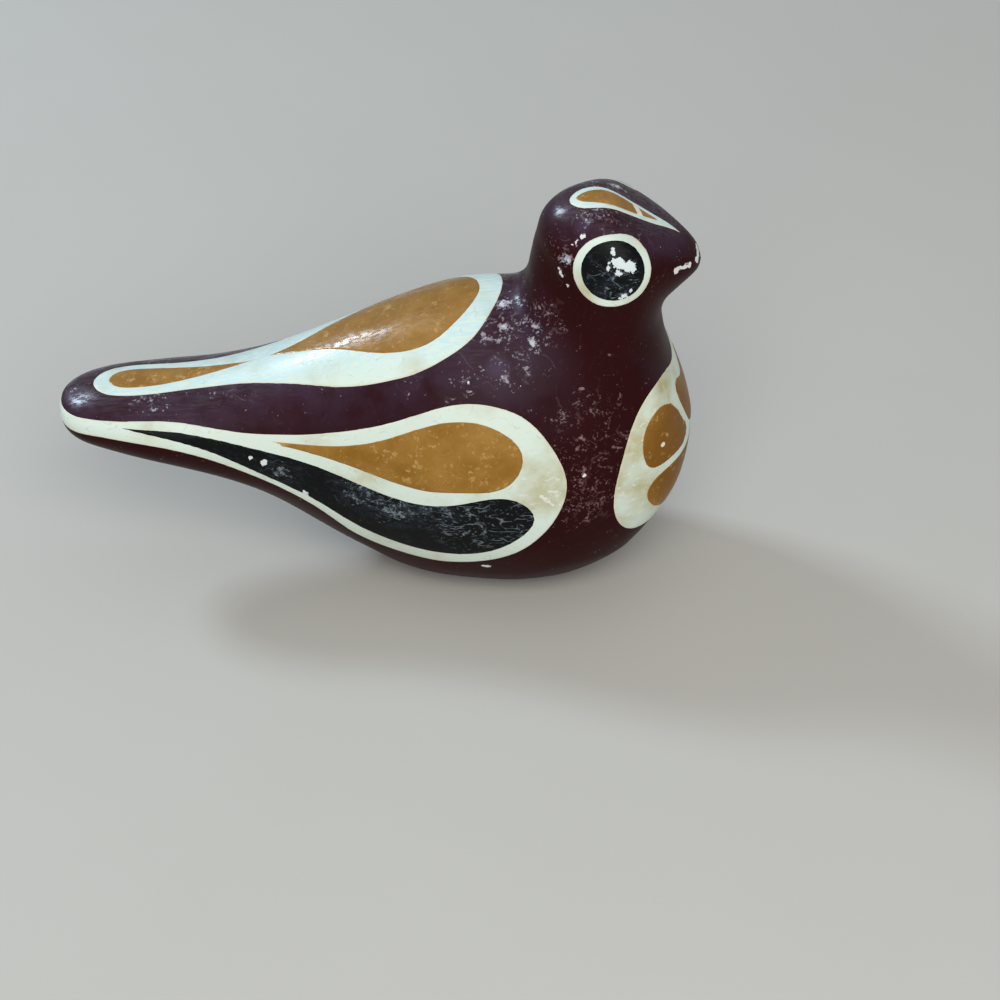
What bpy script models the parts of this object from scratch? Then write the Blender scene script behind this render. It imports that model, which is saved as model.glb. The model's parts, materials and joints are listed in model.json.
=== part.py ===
"""Pottery bird figurine, 150 mm long, standing on a small flat under its belly.

Two press-moulded clay halves are luted together along the mid-plane. The
painted slips lie side by side on the clay as thin fired coats: a dark ground
with windows, and in each window a pale panel that frames coloured drops.
+X points to the beak, -Y is the bird's right side, +Z is up.
"""

import math

import bmesh
import bpy
import numpy as np
from mathutils import Matrix

MM = 0.001

# Layers, in millimetres
WALL = 6.0
COAT = 0.5
CLEARANCE = 0.3
SEAM = 1.0
LEAST_HOLLOW = 2.0
VENT_DIAMETER = 3.0
VENT_X = -6.0
VENT_Y = 8.0

# Landmarks of the body in the side view, in millimetres
TAIL_X = -74.6
TAIL_Z = 42.8
BELLY_DROP = 3.2
BREAST_X = 74.5
HEAD_X = 51.6
HEAD_Z = 85.2
HEAD_RADIUS = 16.5
BEAK_X = 75.6
BEAK_Z = 84.4

# Widths seen from above, in millimetres
TAIL_WIDTH = 30.4
BODY_WIDTH = 60.4
SHOULDER_WIDTH = 48.4
NECK_WIDTH = 33.6
HEAD_WIDTH = 32.4
BEAK_WIDTH = 14.8

# Eyes and crown, as shares of the head's radius
EYE_FORWARD = HEAD_RADIUS * 0.176
EYE_ABOVE = HEAD_RADIUS * 0.288
EYE_RADIUS = HEAD_RADIUS * 0.527
EYE_BAND = HEAD_RADIUS * 0.091
EYE_SQUASH = 0.975
EYE_LEAN = 30
CROWN_HALF = HEAD_RADIUS * 0.248
CREST_HALF = HEAD_RADIUS * 0.145

# Facets of the coats, the clay and the painted outlines
RINGS = 31
RING_POINTS = 20
CAVITY_POINTS = 14
OUTLINE_STEPS = 2
ROUND_POINTS = 14
VENT_POINTS = 10

# How full the two ends swell, as slopes of the profile there
TAIL_BLUNT = 1.9
BEAK_BLUNT = 1.7

# Span of the cutting tools: the bird's whole length
REACH = BEAK_X - TAIL_X


def on_head(degrees, fuller=0.0):
    """A point of the head's round outline, counted from the beak's side upwards."""
    angle = math.radians(degrees)
    radius = HEAD_RADIUS + fuller
    return HEAD_X + radius * math.cos(angle), HEAD_Z + radius * math.sin(angle)


def sections():
    """Rows of (back point, belly point, half width, rise of the widest place) from tail to beak."""
    tail = (TAIL_X, TAIL_Z)
    beak = (BEAK_X, BEAK_Z)
    body = BODY_WIDTH / 2
    shoulder = SHOULDER_WIDTH / 2
    neck = NECK_WIDTH / 2
    head = HEAD_WIDTH / 2
    bill = BEAK_WIDTH / 2
    low = -BELLY_DROP
    return [
        (tail, tail, 0, 0),
        ((TAIL_X + 2.2, TAIL_Z + 4.0), (TAIL_X + 1.8, TAIL_Z - 4.7), TAIL_WIDTH / 2 - 7.6, 0),
        ((TAIL_X + 7.8, TAIL_Z + 6.0), (TAIL_X + 7.4, TAIL_Z - 7.4), TAIL_WIDTH / 2 - 3.6, 0),
        ((TAIL_X + 20.6, TAIL_Z + 7.7), (TAIL_X + 20.6, TAIL_Z - 10.8), TAIL_WIDTH / 2, 0),
        ((-42.0, 52.0), (-42.0, 28.0), TAIL_WIDTH / 2 + 1.0, 0),
        ((-27.0, 55.6), (-27.0, 21.6), TAIL_WIDTH / 2 + 2.6, 0),
        ((-11.0, 62.1), (-11.0, low + 13.6), body - 8.9, 0),
        ((1.0, 67.4), (1.0, low + 6.3), body - 5.0, 0),
        ((13.0, 72.0), (13.0, low + 1.5), body - 1.4, 0),
        ((23.5, 74.8), (25.0, low), body, -0.03),
        ((30.8, 75.8), (36.0, low + 0.2), body - 0.2, -0.08),
        ((34.5, 77.4), (47.0, low + 2.8), body - 1.6, -0.15),
        ((35.9, 80.4), (57.5, 5.4), shoulder + 2.4, -0.22),
        ((36.4, 83.7), (BREAST_X - 8.5, 14.8), shoulder, -0.28),
        ((36.9, 86.5), (BREAST_X - 2.5, 25.7), shoulder - 2.2, -0.30),
        ((37.4, 89.2), (BREAST_X, 36.8), shoulder - 4.3, -0.26),
        ((38.1, 92.0), (BREAST_X - 1.3, 48.8), neck + 1.2, -0.16),
        (on_head(141, -0.4), (69.4, 59.1), neck, -0.03),
        (on_head(126), (67.7, 66.3), head + 0.1, 0.02),
        (on_head(108), (67.2, 70.4), head + 0.1, 0.06),
        (on_head(87), (67.4, 73.4), head - 0.2, 0.12),
        (on_head(62, -1.0), (68.2, 75.8), head - 1.8, 0.18),
        ((BEAK_X - 10.4, BEAK_Z + 10.8), (BEAK_X - 5.7, BEAK_Z - 6.7), bill + 4.0, 0.18),
        ((BEAK_X - 4.6, BEAK_Z + 6.8), (BEAK_X - 3.6, BEAK_Z - 4.8), bill, 0.14),
        ((BEAK_X - 1.2, BEAK_Z + 3.4), (BEAK_X - 1.2, BEAK_Z - 2.6), bill - 3.6, 0.05),
        (beak, beak, 0, 0),
    ]


def wing_cream():
    """Pale wing panel in the side view (x, z), open behind the tail tip."""
    return drawn_through([
        (TAIL_X - 2, TAIL_Z + 2.2), (-60, 46.3), (-48, 47.0), (-30, 45.9), (-12, 48.1), (4, 53.4),
        (21, 59.8), (34, 57.2), (42, 48.4), (45.2, 38.9), (41, 27.9), (32, 19.2), (20, 15.0),
        (6, 15.5), (-5, 19.1), (-13, 25.8), (-25, 32.6), (-38.4, 38.4), (-50, 41.5),
        (TAIL_X - 2, TAIL_Z - 1.2),
    ])  # fmt: skip


def wing_ochre():
    """Upper drop of the wing, from its tip round to its tip again (x, z)."""
    return drawn_through([
        (-26.3, 44.1), (-8, 46.0), (4, 50.3), (14, 55.0), (22, 56.3), (30, 54.1), (35.1, 47.6),
        (32, 41.1), (22, 38.9), (10, 38.7), (-4, 41.1), (-26.3, 44.1),
    ])  # fmt: skip


def wing_black():
    """Lower drop of the wing, with a long tip towards the tail (x, z)."""
    return drawn_through([
        (-59, 45.0), (-45, 45.2), (-31, 43.2), (-12, 39.7), (6, 35.3), (20, 36.0), (33, 37.2),
        (37.8, 31.9), (33, 24.2), (22, 18.9), (8, 19.3), (-5, 23.4), (-13, 28.6), (-25, 34.4),
        (-38, 40.6), (-59, 45.0),
    ])  # fmt: skip


def back_cream():
    """Right half of the back panel in the top view (x, half width)."""
    return both_halves([
        (TAIL_X + 8, 0), (TAIL_X + 10.2, 4.2), (TAIL_X + 15, 6.0), (-50, 6.1), (-34, 6.2), (-20, 9.5),
        (-8, 13.8), (7, 17.0), (17, 16.4), (25, 11.8), (28.5, 5.0), (30, 0),
    ])  # fmt: skip


def back_ochre():
    """Right half of the large drop on the back (x, half width)."""
    return both_halves([
        (-25.4, 0), (-17, 2.3), (-8, 6.0), (2, 10.8), (10, 12.6), (17, 11.6), (22.7, 5.9),
        (25, 0),
    ])  # fmt: skip


def tail_ochre():
    """Right half of the small drop on the tail (x, half width)."""
    return both_halves([
        (TAIL_X + 11.6, 0), (TAIL_X + 13, 2.6), (TAIL_X + 17.5, 3.9), (-46, 3.0), (-36, 1.4),
        (-27.5, 0),
    ])  # fmt: skip


def crown_cream():
    """Right half of the crown panel (x, half width)."""
    return both_halves([
        (HEAD_X - 6.4, 0), (HEAD_X - 4, CROWN_HALF * 0.82), (HEAD_X + 0.6, CROWN_HALF),
        (HEAD_X + 6, CROWN_HALF * 0.8), (HEAD_X + 13, CROWN_HALF * 0.42), (BEAK_X - 5, 0),
    ])  # fmt: skip


def crown_ochre():
    """Right half of the drop in the crown panel (x, half width)."""
    return both_halves([
        (HEAD_X - 4.6, 0), (HEAD_X - 1.6, CREST_HALF * 0.9), (HEAD_X + 3, CREST_HALF),
        (HEAD_X + 9, CREST_HALF * 0.6), (HEAD_X + 14.4, 0),
    ])  # fmt: skip


def breast_cream():
    """Breast panel in the side view, its x counted from the breast, open in front of the bird."""
    return (BREAST_X, 0) + drawn_through([
        (6, 55.4), (-3.3, 56.0), (-5.0, 58.3), (-7.1, 59.8), (-9.3, 59.7), (-12.2, 56.9),
        (-15.1, 49.9), (-17.1, 41.9), (-18.4, 33.2), (-17.3, 25.8), (-13.7, 21.0), (-8.5, 19.6),
        (6, 18.4),
    ])  # fmt: skip


def breast_low_petal():
    """Lowest breast petal, drawn like the panel and open like it."""
    return (BREAST_X, 0) + drawn_through([
        (6, 38.4), (-2.0, 38.3), (-5.5, 37.6), (-9.2, 35.6), (-10.7, 32.3), (-9.6, 28.1),
        (-6.9, 24.4), (6, 21.8),
    ])  # fmt: skip


def ellipse(centre, long, short, tilt):
    """Closed outline of an oval whose long axis leans by tilt degrees from upright."""
    lean = math.radians(tilt)
    points = []
    for step in range(ROUND_POINTS):
        angle = 2 * math.pi * step / ROUND_POINTS
        up = long * math.cos(angle)
        out = short * math.sin(angle)
        points.append((centre[0] + out * math.cos(lean) + up * math.sin(lean),
                       centre[1] + up * math.cos(lean) - out * math.sin(lean)))
    return np.array(points)


def breast_side_petal():
    """Petal on one side of the breast, drawn like the panel, its corner towards the middle."""
    return (BREAST_X, 0) + drawn_through([
        (-5.4, 53.5), (-7.9, 54.7), (-10.1, 53.2), (-12.1, 46.5), (-11.5, 42.4), (-9.5, 39.5),
        (-5.0, 40.0), (-1.9, 41.4), (-2.3, 45.4), (-3.7, 50.2), (-5.4, 53.5),
    ])  # fmt: skip


def breast_top_petal():
    """Petal in the middle of the breast in the front view (y, z), the half on the bird's left."""
    half = drawn_through([(0, 53.0), (4, 53.6), (7.4, 53.6), (8.2, 50.0), (6.4, 45.0), (3.6, 42.2), (0, 41.6)])
    return np.concatenate([half, half[-2:0:-1] * (-1, 1)])


def eye_circle(radius):
    return ellipse((HEAD_X + EYE_FORWARD, HEAD_Z + EYE_ABOVE), radius * EYE_SQUASH, radius, EYE_LEAN)


def slopes(knots, values, start, end):
    """Slopes of the smoothest curve through the values, with free ends where none is given."""
    count = len(knots)
    gap = np.diff(knots)
    matrix = np.zeros((count, count))
    right = np.zeros(values.shape)
    for i in range(1, count - 1):
        matrix[i, i - 1 : i + 2] = 1 / gap[i - 1], 2 / gap[i - 1] + 2 / gap[i], 1 / gap[i]
        rise = (values[i] - values[i - 1]) / gap[i - 1] ** 2
        right[i] = 3 * (rise + (values[i + 1] - values[i]) / gap[i] ** 2)
    for row, other, bound, free in ((0, 1, start, gap[0]), (-1, -2, end, -gap[-1])):
        matrix[row, row] = 1
        if bound is None:
            matrix[row, other] = 0.5
            right[row] = 1.5 * (values[other] - values[row]) / free
        else:
            right[row] = bound
    return np.linalg.solve(matrix, right)


def smooth(knots, values, places, start=None, end=None):
    """Points at the given places on a smooth curve through the values."""
    values = np.array(values, float)
    slope = slopes(knots, values, start, end)
    points = []
    for place in places:
        i = min(np.searchsorted(knots, place, side="right"), len(knots) - 1) - 1
        width = knots[i + 1] - knots[i]
        s = (place - knots[i]) / width
        points.append(
            values[i] * (1 + 2 * s) * (1 - s) ** 2
            + slope[i] * width * s * (1 - s) ** 2
            + values[i + 1] * s**2 * (3 - 2 * s)
            + slope[i + 1] * width * s**2 * (s - 1)
        )
    return np.array(points)


def drawn_through(points):
    """Smooth open line through hand-set points, with OUTLINE_STEPS stretches between each two."""
    knots = lengths(np.array(points, float))
    count = (len(knots) - 1) * OUTLINE_STEPS + 1
    places = np.interp(np.arange(count) / OUTLINE_STEPS, np.arange(len(knots)), knots)
    return smooth(knots, points, places)


def lengths(points):
    """Running length along a row of points."""
    return np.concatenate([[0], np.cumsum(np.linalg.norm(np.diff(points, axis=0), axis=1))])


def profiles():
    """Smooth back line, belly line, half width and rise, ring by ring."""
    rows = sections()
    back = np.array([row[0] for row in rows])
    belly = np.array([row[1] for row in rows])
    wide = np.array([row[2] for row in rows], float)
    rise = np.array([row[3] for row in rows], float)
    knots = (lengths(back) + lengths(belly)) / 2
    places = np.linspace(0, knots[-1], RINGS)
    up = np.array([0, 1.0])
    return (
        smooth(knots, back, places, TAIL_BLUNT * up, BEAK_BLUNT * np.array([0.25, -0.9])),
        smooth(knots, belly, places, -TAIL_BLUNT * up, BEAK_BLUNT * np.array([0.15, 0.9])),
        smooth(knots, wide, places, TAIL_BLUNT, -BEAK_BLUNT),
        smooth(knots, rise, places),
    )


def ring(back, belly, wide, rise, steps):
    """One cross-section between a back point and a belly point, in even steps."""
    middle = (back + belly) / 2
    half = (back - belly) / 2
    points = []
    for step in steps:
        angle = 2 * math.pi * step / len(steps)
        along = math.cos(angle) + rise * math.sin(angle) ** 2
        x, z = middle + half * along
        points.append((x * MM, -wide * math.sin(angle) * MM, z * MM))
    return points


def loft(name, rings, first, last):
    """Closed mesh through the rings, drawn to a point at each end."""
    mesh = bmesh.new()
    loops = [[mesh.verts.new(point) for point in points] for points in rings]
    for low, high in zip(loops, loops[1:]):
        for j in range(len(low)):
            k = (j + 1) % len(low)
            mesh.faces.new((low[j], low[k], high[k], high[j]))
    for loop, end in ((loops[0], first), (loops[-1], last)):
        tip = mesh.verts.new((end[0] * MM, 0, end[1] * MM))
        for j in range(len(loop)):
            mesh.faces.new((loop[j], loop[(j + 1) % len(loop)], tip))
    bmesh.ops.triangulate(mesh, faces=mesh.faces)
    bmesh.ops.recalc_face_normals(mesh, faces=mesh.faces)
    data = bpy.data.meshes.new(name)
    mesh.to_mesh(data)
    mesh.free()
    data.shade_smooth()
    data.materials.append(None)
    return data


def skin_mesh():
    """Outer surface of the bird, the face of every coat."""
    back, belly, wide, rise = profiles()
    rings = []
    for i in range(1, len(wide) - 1):
        rings.append(ring(back[i], belly[i], wide[i], rise[i], range(RING_POINTS)))
    return loft("skin", rings, back[0], back[-1])


def cavity_mesh():
    """Hollow of the body and head, a wall's thickness inside the skin."""
    back, belly, wide, rise = profiles()
    inset = COAT + CLEARANCE + WALL
    rings = []
    middles = []
    for i in range(0, len(wide), 2):
        tall = np.linalg.norm(back[i] - belly[i])
        if min(tall / 2, wide[i]) < inset + LEAST_HOLLOW:
            continue
        inward = (belly[i] - back[i]) / tall
        top = back[i] + inset * inward
        bottom = belly[i] - inset * inward
        rings.append(ring(top, bottom, wide[i] - inset, rise[i], range(CAVITY_POINTS)))
        middles.append((back[i] + belly[i]) / 2)
    first = middles[0] + (middles[0] - middles[1]) / 3
    last = middles[-1] + (middles[-1] - middles[-2]) / 3
    return loft("cavity", rings, first, last)


def outline(points, grow=0.0):
    """Closed outline without a doubled end, moved outwards by grow."""
    if np.linalg.norm(points[0] - points[-1]) < CLEARANCE:
        points = points[:-1]
    following = np.roll(points, -1, axis=0)
    if np.sum(points[:, 0] * following[:, 1] - points[:, 1] * following[:, 0]) < 0:
        points = points[::-1]
    before = points - np.roll(points, 1, axis=0)
    after = np.roll(points, -1, axis=0) - points
    before = before / np.linalg.norm(before, axis=1)[:, None]
    after = after / np.linalg.norm(after, axis=1)[:, None]
    along = before + after
    along = along / np.maximum(np.linalg.norm(along, axis=1), 0.5)[:, None]
    return points + grow * np.stack([along[:, 1], -along[:, 0]], axis=1)


def both_halves(points):
    """A half outline joined to its mirror image across the mid-line."""
    half = drawn_through(points)
    return np.concatenate([half, half[-2:0:-1] * (1, -1)])


def paint(name, colour, roughness):
    """Matt or varnished finish of one clay or slip."""
    material = bpy.data.materials.new(name)
    material.use_nodes = True
    shader = material.node_tree.nodes["Principled BSDF"]
    shader.inputs["Base Color"].default_value = (*colour, 1)
    shader.inputs["Roughness"].default_value = roughness
    shader.inputs["Metallic"].default_value = 0
    return material


VIEWS = {
    "side": Matrix(((1, 0, 0), (0, 0, -1), (0, 1, 0))),
    "top": Matrix.Identity(3),
    "front": Matrix(((0, 0, 1), (1, 0, 0), (0, 1, 0))),
}


def prism(name, points, view, near, far):
    """Cutter: an outline drawn in a view and extruded along it from near to far."""
    mesh = bmesh.new()
    low = [mesh.verts.new((u * MM, v * MM, near * MM)) for u, v in points]
    high = [mesh.verts.new((u * MM, v * MM, far * MM)) for u, v in points]
    mesh.faces.new(low[::-1])
    mesh.faces.new(high)
    for j in range(len(low)):
        k = (j + 1) % len(low)
        mesh.faces.new((low[j], low[k], high[k], high[j]))
    data = bpy.data.meshes.new(name)
    mesh.to_mesh(data)
    mesh.free()
    return cutter(name, data, VIEWS[view].to_4x4())


def block(name, low, high):
    """Cutter: a box between two corners."""
    mesh = bmesh.new()
    size = [(b - a) * MM for a, b in zip(low, high)]
    middle = [(a + b) / 2 * MM for a, b in zip(low, high)]
    place = Matrix.Translation(middle) @ Matrix.Diagonal((*size, 1))
    bmesh.ops.create_cube(mesh, size=1, matrix=place)
    data = bpy.data.meshes.new(name)
    mesh.to_mesh(data)
    mesh.free()
    return cutter(name, data, Matrix.Identity(4))


def vent_drill():
    """Cutter: the small firing vent in the underside."""
    mesh = bmesh.new()
    radius = VENT_DIAMETER / 2 * MM
    bmesh.ops.create_cone(
        mesh, cap_ends=True, segments=VENT_POINTS, radius1=radius, radius2=radius, depth=TAIL_Z * MM
    )
    data = bpy.data.meshes.new("vent_drill")
    mesh.to_mesh(data)
    mesh.free()
    return cutter("vent_drill", data, Matrix.Translation((VENT_X * MM, VENT_Y * MM, TAIL_Z / 2 * MM)))


def cutter(name, data, place):
    tool = bpy.data.objects.new(name, data)
    tool.matrix_world = place
    tool.hide_render = True
    tool.display_type = "WIRE"
    bpy.data.collections["cutters"].objects.link(tool)
    return tool


def piece(name, data, material, shell):
    """One part of the bird on the shared skin: a coat, or the clay below the coats."""
    part = bpy.data.objects.new(name, data)
    bpy.data.collections["pottery_bird"].objects.link(part)
    part.material_slots[0].link = "OBJECT"
    part.material_slots[0].material = material
    if shell:
        coat = part.modifiers.new("coat", "SOLIDIFY")
        coat.thickness = COAT * MM
        coat.offset = -1
    else:
        clay = part.modifiers.new("below_coats", "DISPLACE")
        clay.mid_level = 0
        clay.strength = -(COAT + CLEARANCE) * MM
    return part


def cut(part, operation, *tools):
    for tool in tools:
        step = part.modifiers.new(tool.name, "BOOLEAN")
        step.operation = operation
        step.object = tool


def flank(side):
    """Span of a side-view prism that meets one flank only; side is right or left."""
    if side == "right":
        return CLEARANCE / 2, REACH
    return -REACH, -CLEARANCE / 2


def panel(skin, name, material, shape, holes, view, near, far):
    """A coat that fills a window of the ground, less the drops painted inside it."""
    coat = piece(name, skin, material, True)
    cut(coat, "INTERSECT", prism(name + "_edge", outline(shape), view, near, far))
    for number, hole in enumerate(holes):
        spread = outline(hole, CLEARANCE)
        cut(coat, "DIFFERENCE", prism(f"{name}_hole_{number}", spread, view, near, far))
    return coat


def clear_scene():
    for thing in list(bpy.data.objects):
        bpy.data.objects.remove(thing)
    for name in ("pottery_bird", "cutters"):
        group = bpy.data.collections.new(name)
        bpy.context.scene.collection.children.link(group)


def build_clay(skin, foot, coat_edge, vent):
    """Two hollow halves and the slip joint between their edges."""
    terracotta = paint("terracotta", (0.42, 0.20, 0.11), 0.85)
    slip = paint("luting_slip", (0.36, 0.17, 0.10), 0.9)
    hollow = cutter("cavity", cavity_mesh(), Matrix.Identity(4))
    joint = SEAM / 2 + CLEARANCE
    for side, low, high in (("right", -REACH, -joint), ("left", joint, REACH)):
        half = piece(f"clay_half_{side}", skin, terracotta, False)
        keep = block(f"keep_{side}", (-REACH, low, -REACH), (REACH, high, REACH))
        cut(half, "INTERSECT", keep)
        cut(half, "DIFFERENCE", hollow, foot)
        if side == "left":
            cut(half, "DIFFERENCE", vent)
    seam = piece("luting_seam", skin, slip, False)
    keep = block("keep_seam", (-REACH, -SEAM / 2, -REACH), (REACH, SEAM / 2, REACH))
    cut(seam, "INTERSECT", keep)
    cut(seam, "DIFFERENCE", hollow, coat_edge)


def build_coats(skin, coat_edge, vent):
    """The dark ground and every painted panel, drop and eye in its windows."""
    maroon = paint("maroon_slip", (0.055, 0.012, 0.018), 0.35)
    cream = paint("cream_slip", (0.72, 0.66, 0.46), 0.4)
    ochre = paint("ochre_slip", (0.38, 0.16, 0.022), 0.35)
    black = paint("black_slip", (0.009, 0.010, 0.010), 0.35)
    above = TAIL_Z
    back = back_cream()
    drop = back_ochre()
    tail = tail_ochre()
    crown = crown_cream()
    crest = crown_ochre()
    eye = eye_circle(EYE_RADIUS)
    pupil = eye_circle(EYE_RADIUS - EYE_BAND)
    body = piece("ground_coat", skin, maroon, True)
    windows = (
        ("wing", wing_cream(), "side", -REACH, REACH),
        ("eye", eye, "side", -REACH, REACH),
        ("breast", breast_cream(), "side", -REACH, REACH),
        ("back", back, "top", above, REACH),
        ("crown", crown, "top", HEAD_Z, REACH),
    )
    for name, shape, view, near, far in windows:
        window = prism(f"{name}_window", outline(shape, CLEARANCE), view, near, far)
        cut(body, "DIFFERENCE", window)
    cut(body, "DIFFERENCE", coat_edge, vent)

    for side in ("right", "left"):
        near, far = flank(side)
        drops = (wing_ochre(), wing_black())
        panel(skin, f"wing_panel_{side}", cream, wing_cream(), drops, "side", near, far)
        panel(skin, f"wing_upper_drop_{side}", ochre, wing_ochre(), (), "side", near, far)
        panel(skin, f"wing_lower_drop_{side}", black, wing_black(), (), "side", near, far)
        panel(skin, f"eye_ring_{side}", cream, eye, (pupil,), "side", near, far)
        panel(skin, f"pupil_{side}", black, pupil, (), "side", near, far)
        panel(skin, f"breast_petal_{side}", ochre, breast_side_petal(), (), "side", near, far)
    panel(skin, "back_panel", cream, back, (drop, tail), "top", above, REACH)
    panel(skin, "back_drop", ochre, drop, (), "top", above, REACH)
    panel(skin, "tail_drop", ochre, tail, (), "top", above, REACH)
    panel(skin, "crown_panel", cream, crown, (crest,), "top", HEAD_Z, REACH)
    panel(skin, "crown_drop", ochre, crest, (), "top", HEAD_Z, REACH)
    petals = (breast_low_petal(), breast_side_petal())
    breast = panel(skin, "breast_panel", cream, breast_cream(), petals, "side", -REACH, REACH)
    top = breast_top_petal()
    hole = prism("breast_top_hole", outline(top, CLEARANCE), "front", HEAD_X, REACH)
    cut(breast, "DIFFERENCE", hole)
    panel(skin, "breast_petal_low", ochre, breast_low_petal(), (), "side", -REACH, REACH)
    panel(skin, "breast_petal_top", ochre, top, (), "front", HEAD_X, REACH)


def main():
    clear_scene()
    skin = skin_mesh()
    vent = vent_drill()
    foot = block("foot_plane", (-REACH, -REACH, -REACH), (REACH, REACH, 0))
    coat_edge = block("coat_edge", (-REACH, -REACH, -REACH), (REACH, REACH, CLEARANCE))
    build_clay(skin, foot, coat_edge, vent)
    build_coats(skin, coat_edge, vent)


main()
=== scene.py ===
# %% [markdown]
# # A painted pottery bird
# The real object is a hand-sized bird of fired clay. Its maker covered it with a
# dark maroon slip, painted pale teardrop panels on wings, back, breast and crown,
# and filled them with ochre and black drops. Years of handling left it glossy,
# scuffed and chipped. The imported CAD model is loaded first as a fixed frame, and
# every piece made below stands for one of its nodes.

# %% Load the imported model
import json
import math

import bmesh
import bpy
import numpy as np
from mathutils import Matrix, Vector, noise

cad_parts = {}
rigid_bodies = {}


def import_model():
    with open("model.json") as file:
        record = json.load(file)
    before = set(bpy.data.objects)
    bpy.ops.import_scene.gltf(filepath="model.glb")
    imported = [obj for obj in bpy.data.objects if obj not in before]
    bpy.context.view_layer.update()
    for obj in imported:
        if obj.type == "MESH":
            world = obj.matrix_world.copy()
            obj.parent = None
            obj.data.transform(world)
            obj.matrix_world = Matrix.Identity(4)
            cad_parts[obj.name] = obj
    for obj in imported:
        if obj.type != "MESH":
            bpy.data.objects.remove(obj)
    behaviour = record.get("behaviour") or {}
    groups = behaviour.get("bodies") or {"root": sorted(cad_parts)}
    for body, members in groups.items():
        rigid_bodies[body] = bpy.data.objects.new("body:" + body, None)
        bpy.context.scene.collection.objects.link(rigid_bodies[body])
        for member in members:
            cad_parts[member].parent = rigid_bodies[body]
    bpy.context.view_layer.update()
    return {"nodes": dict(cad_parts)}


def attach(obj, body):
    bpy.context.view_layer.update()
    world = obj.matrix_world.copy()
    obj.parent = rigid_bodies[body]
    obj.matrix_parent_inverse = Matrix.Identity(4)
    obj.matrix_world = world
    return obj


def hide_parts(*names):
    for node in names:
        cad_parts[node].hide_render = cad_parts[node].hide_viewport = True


for thing in list(bpy.data.objects):
    bpy.data.objects.remove(thing)
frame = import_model()
nodes = frame["nodes"]
MM = 0.001


# %% [markdown]
# ## The body's stations
# A modeller would carve this body from a ball of clay. Here it is lofted: a row of
# stations runs from the tail tip to the beak tip, and each one gives a point on the
# back line, a point on the belly line, the half width between them, and how far the
# widest place sits above the middle, as a share of the half height. Lengths are
# millimetres and follow the CAD model, so that the new skin lies where the old one does.

# %% Stations from tail to beak
TAIL_X = -74.6
TAIL_Z = 42.8
BEAK_X = 75.6
BEAK_Z = 84.4
BREAST_X = 74.5
HEAD_X = 51.6
HEAD_Z = 85.2
HEAD_RADIUS = 16.5
BELLY = -3.2
COAT_EDGE = 0.3


def on_head(degrees, fuller=0.0):
    """A point of the head's round outline, counted from the beak's side upwards."""
    angle = math.radians(degrees)
    radius = HEAD_RADIUS + fuller
    return HEAD_X + radius * math.cos(angle), HEAD_Z + radius * math.sin(angle)


STATIONS = [
    ((TAIL_X, TAIL_Z), (TAIL_X, TAIL_Z), 0.0, 0.0),
    ((TAIL_X + 2.2, TAIL_Z + 4.0), (TAIL_X + 1.8, TAIL_Z - 4.7), 7.6, 0.0),
    ((TAIL_X + 7.8, TAIL_Z + 6.0), (TAIL_X + 7.4, TAIL_Z - 7.4), 11.6, 0.0),
    ((-54.0, 50.5), (-54.0, 32.0), 15.2, 0.0),
    ((-42.0, 52.0), (-42.0, 28.0), 16.2, 0.0),
    ((-27.0, 55.6), (-27.0, 21.6), 17.8, 0.0),
    ((-11.0, 62.1), (-11.0, 10.4), 21.3, 0.0),
    ((1.0, 67.4), (1.0, 3.1), 25.2, 0.0),
    ((13.0, 72.0), (13.0, BELLY + 1.5), 28.8, 0.0),
    ((23.5, 74.8), (25.0, BELLY), 30.2, -0.03),
    ((30.8, 75.8), (36.0, BELLY + 0.2), 30.0, -0.08),
    ((34.5, 77.4), (47.0, BELLY + 2.8), 28.6, -0.15),
    ((35.9, 80.4), (57.5, 5.4), 26.6, -0.22),
    ((36.4, 83.7), (BREAST_X - 8.5, 14.8), 24.2, -0.28),
    ((36.9, 86.5), (BREAST_X - 2.5, 25.7), 22.0, -0.30),
    ((37.4, 89.2), (BREAST_X, 36.8), 19.9, -0.26),
    ((38.1, 92.0), (BREAST_X - 1.3, 48.8), 18.0, -0.16),
    (on_head(141, -0.4), (69.4, 59.1), 16.8, -0.03),
    (on_head(126), (67.7, 66.3), 16.3, 0.02),
    (on_head(108), (67.2, 70.4), 16.3, 0.06),
    (on_head(87), (67.4, 73.4), 16.0, 0.12),
    (on_head(62, -1.0), (68.2, 75.8), 14.4, 0.18),
    ((BEAK_X - 10.4, BEAK_Z + 10.8), (BEAK_X - 5.7, BEAK_Z - 6.7), 11.4, 0.18),
    ((BEAK_X - 4.6, BEAK_Z + 6.8), (BEAK_X - 3.6, BEAK_Z - 4.8), 7.4, 0.14),
    ((BEAK_X - 1.2, BEAK_Z + 3.4), (BEAK_X - 1.2, BEAK_Z - 2.6), 3.8, 0.05),
    ((BEAK_X, BEAK_Z), (BEAK_X, BEAK_Z), 0.0, 0.0),
]
print("stations:", len(STATIONS))

# %% [markdown]
# ## A smooth curve through points
# Blender's own Bezier curves would do for one line, but the loft needs many lines
# sampled at the same places. A cubic spline through the stations has no kinks in its
# slope or its bend, which matters on a glossy skin where every kink shows.


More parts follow.
